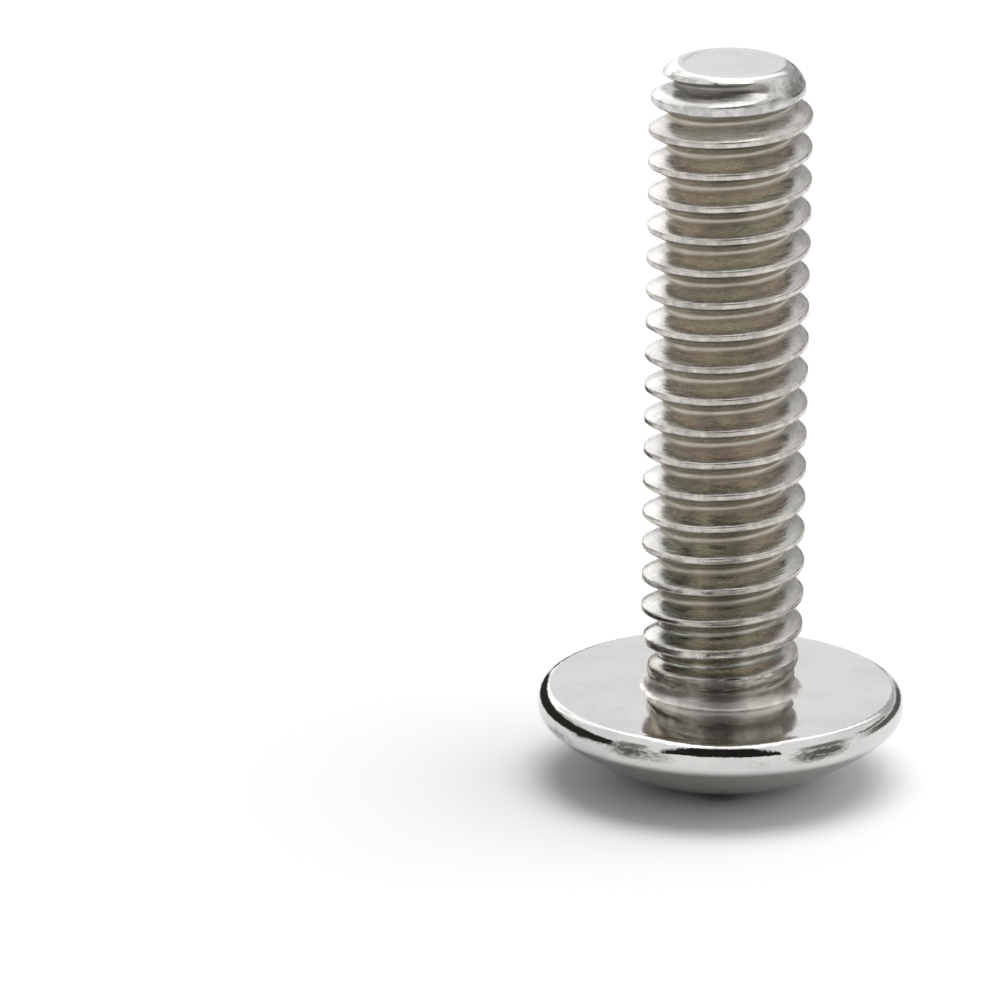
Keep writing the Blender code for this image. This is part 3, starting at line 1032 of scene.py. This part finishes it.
# Cards on a sphere round the screw, in degrees. Azimuth 0 is the camera's side, positive to its right.
# The flags and edges darken what the metal reflects, and the last two only shape the light on the floor.
skyCards = {
    "darkCard": {"azimuths": (-38, 37), "elevations": (0, 74), "distance": 0.8, "soft": 0.05,
                 "color": (0.02, 0.018, 0.016), "lowColor": (0.52, 0.51, 0.5)},
    "leftFlag": {"azimuths": (-140, -102), "elevations": (0, 32), "color": (0.42, 0.41, 0.4)},
    "rightFlag": {"azimuths": (98, 140), "elevations": (0, 30), "color": (0.2, 0.19, 0.18)},
    "rightEdge": {"azimuths": (138, 174), "elevations": (0, 8), "distance": 0.79, "soft": 0.2,
                  "color": (0.05, 0.05, 0.05)},
    "leftStand": {"azimuths": (-72, -46), "elevations": (0, 44), "soft": 0.6, "color": (0.25, 0.24, 0.22)},
    "rightStand": {"azimuths": (46, 92), "elevations": (2, 36), "soft": 0.6, "color": (0.25, 0.24, 0.22)},
    "brightCard": {"azimuths": (-176, -138), "elevations": (2, 52), "distance": 0.81, "soft": 0.2,
                   "color": (1.82, 1.82, 1.81)},
    "greyCard": {"azimuths": (138, 176), "elevations": (6, 52), "distance": 0.81, "soft": 0.2,
                 "color": (0.55, 0.545, 0.54)},
    "overheadCard": {"azimuths": (-214, -146), "elevations": (30, 88), "distance": 0.7,
                     "color": (1.7, 1.7, 1.7)},
    "lowFlag": {"azimuths": (-174, -116), "elevations": (-6, 13), "distance": 0.035, "soft": 0.2,
                "color": (0.05, 0.045, 0.04)},
    "lowShade": {"azimuths": (-150, 40), "elevations": (0, 18), "distance": 0.9, "soft": 0.1,
                 "color": (0, 0, 0), "rays": ("diffuse",)},
    "sideGlow": {"azimuths": (48, 140), "elevations": (8, 50), "distance": 0.9, "soft": 0.2,
                 "color": (1.2, 1.2, 1.2), "rays": ("diffuse",)},
}

# Low strips close to the head, which little but its rim reflects, in millimetres: where the two ends
# stand, and how high the lower and upper edges are at each end.
rimStrips = {
    "frontStrip": {"ends": ((-6.0, -11.5), (5.9, -11.5)), "lows": (3.25, 3.25), "highs": (6.9, 6.9),
                   "color": (0.02, 0.018, 0.016), "soft": 0.0},
    "frontLeftStrip": {"ends": ((-11.35, -2.4), (-11.0, -8.6)), "lows": (0.9, 1.4), "highs": (6.6, 5.8),
                       "color": (0.03, 0.027, 0.022), "soft": 0.16},
    "leftStrip": {"ends": ((-7.3, 7.5), (-12.0, -4.8)), "lows": (3.3, 0.9), "highs": (5.6, 6.4),
                  "color": (0.03, 0.027, 0.022), "soft": 0.16},
    "rightStrip": {"ends": ((7.35, 7.5), (12.0, -4.4)), "lows": (3.3, 1.5), "highs": (5.4, 5.2),
                   "color": (0.13, 0.125, 0.12), "soft": 0.5},
}

# A level card over the screw: two of its corners and its height
zenithCard = {
    "corners": ((-0.225, -0.1125), (0.225, 0.3375)),
    "height": 0.72,
    "color": (2.6, 2.6, 2.57),
    "soft": 0.3,
}

topLamp = {
    "location": (0.07, 0.05, 0.6),
    "target": (0.0, 0.0, 0.012),
    "size": 0.62,
    "power": 2.92,
}


def seenDirectly(tree):
    # 1 where the camera or a reflection looks at it
    path = addNode(tree, "ShaderNodeLightPath", {}).outputs
    return calc(tree, "MAXIMUM", path["Is Camera Ray"], path["Is Glossy Ray"])


def makeFloor():
    # white paper from above, and clear from below
    bm = bmesh.new()
    bmesh.ops.create_circle(bm, cap_ends=True, segments=stage["floorSides"], radius=stage["floorRadius"])
    floor = meshObject("floor", bm)
    material = newMaterial("whiteFloor")
    tree = material.node_tree
    tree.nodes.remove(tree.nodes["Principled BSDF"])
    paper = addNode(tree, "ShaderNodeBsdfDiffuse", {"Color": (*[stage["floorColor"]] * 3, 1.0)}).outputs[0]
    clear = addNode(tree, "ShaderNodeBsdfTransparent", {}).outputs[0]
    below = addNode(tree, "ShaderNodeNewGeometry", {}).outputs["Backfacing"]
    both = addNode(tree, "ShaderNodeMixShader", {0: below, 1: paper, 2: clear}).outputs[0]
    feed(tree, tree.nodes["Material Output"].inputs["Surface"], both)
    floor.data.materials.append(material)


def makeWorld():
    # white to look at, and weaker as a light
    world = bpy.data.worlds.new("studio")
    bpy.context.scene.world = world
    world.use_nodes = True
    tree = world.node_tree
    inputs = {"Value": seenDirectly(tree), "To Min": stage["worldLight"], "To Max": 1.0}
    level = addNode(tree, "ShaderNodeMapRange", inputs).outputs["Result"]
    feed(tree, tree.nodes["Background"].inputs["Strength"], level)
    feed(tree, tree.nodes["Background"].inputs["Color"], (1.0, 1.0, 1.0, 1.0))


def cardMaterial(name, color, lowColor):
    # the card's colours, fading at its edges to the white of the room
    material = newMaterial(name)
    tree = material.node_tree
    tree.nodes.remove(tree.nodes["Principled BSDF"])
    climb = remap(tree, attributeOf(tree, "climb"), *stage["climbBlend"])
    shown = mixColor(tree, climb, lowColor, color)
    shown = mixColor(tree, attributeOf(tree, "fade"), (1.0, 1.0, 1.0), shown)
    glow = addNode(tree, "ShaderNodeEmission", {"Color": shown, "Strength": 1.0}).outputs[0]
    feed(tree, tree.nodes["Material Output"].inputs["Surface"], glow)
    return material


def edgeFade(x, y, soft):
    if not soft:
        return 1.0
    return smoothStep((1 - abs(x)) / soft) * smoothStep((1 - abs(y)) / soft)


def makeCard(name, spotAt, color, soft=0.3, rays=("glossy",), lowColor=None):
    # a card that only some rays see; spotAt gives its shape, from shares across and up
    bm = bmesh.new()
    fade = bm.verts.layers.float.new("fade")
    climb = bm.verts.layers.float.new("climb")
    across, up = stage["cardCells"]
    bmesh.ops.create_grid(bm, x_segments=across, y_segments=up, size=1.0)
    for vert in bm.verts:
        vert[fade] = edgeFade(vert.co.x, vert.co.y, soft)
        vert[climb] = (vert.co.y + 1) / 2
        vert.co = spotAt((vert.co.x + 1) / 2, (vert.co.y + 1) / 2)
    card = meshObject(name, bm)
    card.data.materials.append(cardMaterial(name, color, lowColor or color))
    for ray in ("camera", "diffuse", "glossy", "transmission", "volume_scatter", "shadow"):
        setattr(card, "visible_" + ray, ray in rays)


def makeSkyCard(name, azimuths, elevations, distance=0.8, **looks):
    def spotAt(across, up):
        azimuth = math.radians(azimuths[0] + (azimuths[1] - azimuths[0]) * across)
        elevation = math.radians(elevations[0] + (elevations[1] - elevations[0]) * up)
        level = math.cos(elevation)
        facing = Vector((math.sin(azimuth) * level, -math.cos(azimuth) * level, math.sin(elevation)))
        return facing * distance

    makeCard(name, spotAt, **looks)


def makeRimStrip(name, ends, lows, highs, **looks):
    def spotAt(across, up):
        x, y = Vector(ends[0]).lerp(Vector(ends[1]), across)
        low = lows[0] + (lows[1] - lows[0]) * across
        high = highs[0] + (highs[1] - highs[0]) * across
        return Vector((x, y, low + (high - low) * up)) * toMetres

    makeCard(name, spotAt, **looks)


def makeLevelCard(name, corners, height, **looks):
    def spotAt(across, up):
        x = corners[0][0] + (corners[1][0] - corners[0][0]) * across
        y = corners[0][1] + (corners[1][1] - corners[0][1]) * up
        return Vector((x, y, height))

    makeCard(name, spotAt, **looks)


def makeLamp(name, location, target, size, power):
    data = bpy.data.lights.new(name, "AREA")
    data.shape = "DISK"
    data.size = size
    data.energy = power
    lamp = bpy.data.objects.new(name, data)
    bpy.context.scene.collection.objects.link(lamp)
    lamp.location = location
    lamp.rotation_euler = (Vector(target) - Vector(location)).to_track_quat("-Z", "Y").to_euler()
    lamp.visible_glossy = False


makeFloor()
makeWorld()
for name, values in skyCards.items():
    makeSkyCard(name, **values)
for name, values in rimStrips.items():
    makeRimStrip(name, **values)
makeLevelCard("zenithCard", **zenithCard)
makeLamp("topLamp", **topLamp)
print("stage and lamp set:", len(skyCards) + len(rimStrips) + 1, "cards")

# Camera at the photograph's angle, in millimetres and degrees
view = {
    "target": (-8.567, 0.0, 11.06),
    "distance": 450.0,
    "elevation": 18.49,
    "roll": 0.66,
    "lens": 423.8,
    "sensor": 36.0,
    "clip": (0.01, 10.0),   # metres
}


def makeCamera():
    up = math.radians(view["elevation"])
    forward = Vector((0.0, math.cos(up), -math.sin(up)))
    right = Vector((1.0, 0.0, 0.0))
    above = right.cross(forward)
    roll = math.radians(view["roll"])
    across = right * math.cos(roll) + above * math.sin(roll)
    upward = above * math.cos(roll) - right * math.sin(roll)
    data = bpy.data.cameras.new("camera")
    data.lens = view["lens"]
    data.sensor_width = view["sensor"]
    data.clip_start, data.clip_end = view["clip"]
    camera = bpy.data.objects.new("camera", data)
    bpy.context.scene.collection.objects.link(camera)
    turn = Matrix((across, upward, -forward)).transposed().to_4x4()
    eye = Vector(view["target"]) - forward * view["distance"]
    camera.matrix_world = Matrix.Translation(eye * toMetres) @ turn
    bpy.context.scene.camera = camera


makeCamera()
bpy.context.scene.view_settings.view_transform = "Standard"
print("camera set")
